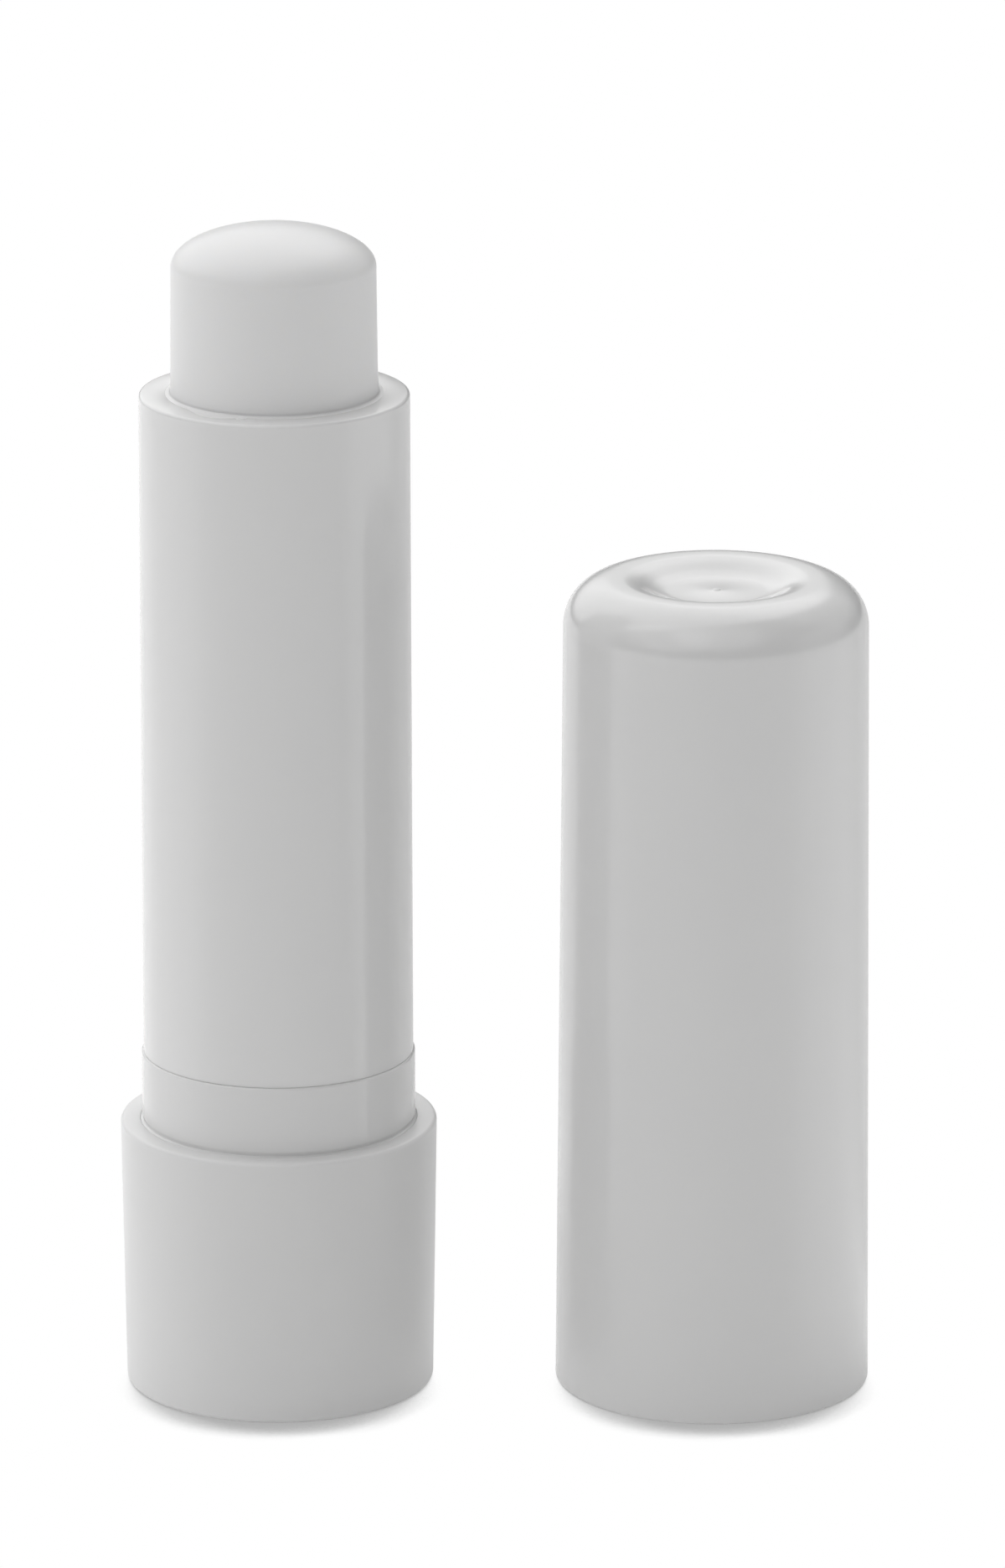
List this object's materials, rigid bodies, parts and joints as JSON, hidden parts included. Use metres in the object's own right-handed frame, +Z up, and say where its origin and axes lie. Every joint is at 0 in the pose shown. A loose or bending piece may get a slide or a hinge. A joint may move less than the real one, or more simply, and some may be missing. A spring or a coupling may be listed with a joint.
{
  "type": "lip balm stick",
  "caption": "Twist-up lip balm stick: round tube on a wide base knob, balm wound out through the rim, pull-off cap standing beside it.",
  "frame": {"origin": "centre of the knob's flat underside, on the stick's axis", "axes": "+Z up along the stick towards the balm, +X towards the cap that stands beside it"},
  "size_m": [0.0453, 0.019, 0.072],
  "materials": {
    "knob_plastic": "white moulded plastic with a fine matte grain",
    "inner_plastic": "plain white moulded plastic",
    "collar_plastic": "white moulded plastic, glossy on the collar",
    "sleeve_plastic": "white moulded plastic, satin",
    "balm_wax": "smooth cast white balm with a soft sheen",
    "cap_plastic": "white moulded plastic, satin"
  },
  "bodies": {
    "stick": {"barrel": "collar_plastic", "outer_sleeve": "sleeve_plastic"},
    "knob": {"base_knob": "knob_plastic", "screw_spindle": "inner_plastic"},
    "carriage": {"balm_cup": "inner_plastic", "balm": "balm_wax"},
    "cap": {"cap": "cap_plastic"}
  },
  "joints": [
    {"name": "knob_turn", "type": "hinge", "parent": "stick", "child": "knob", "pos_m": [0, 0, 0], "axis": [0, 0, 1], "range_deg": [-792, 1476]},
    {"name": "balm_lift", "type": "slide", "parent": "stick", "child": "carriage", "axis": [0, 0, 1], "range_m": [-0.011, 0.0205]},
    {"name": "cap_lift", "type": "slide", "parent": "stick", "child": "cap", "axis": [0, 0, 1], "range_m": [0, 0.056]}
  ],
  "couplings": [
    {"joint": "balm_lift", "follows": "knob_turn", "m_per_rad": 0.00079577}
  ]
}
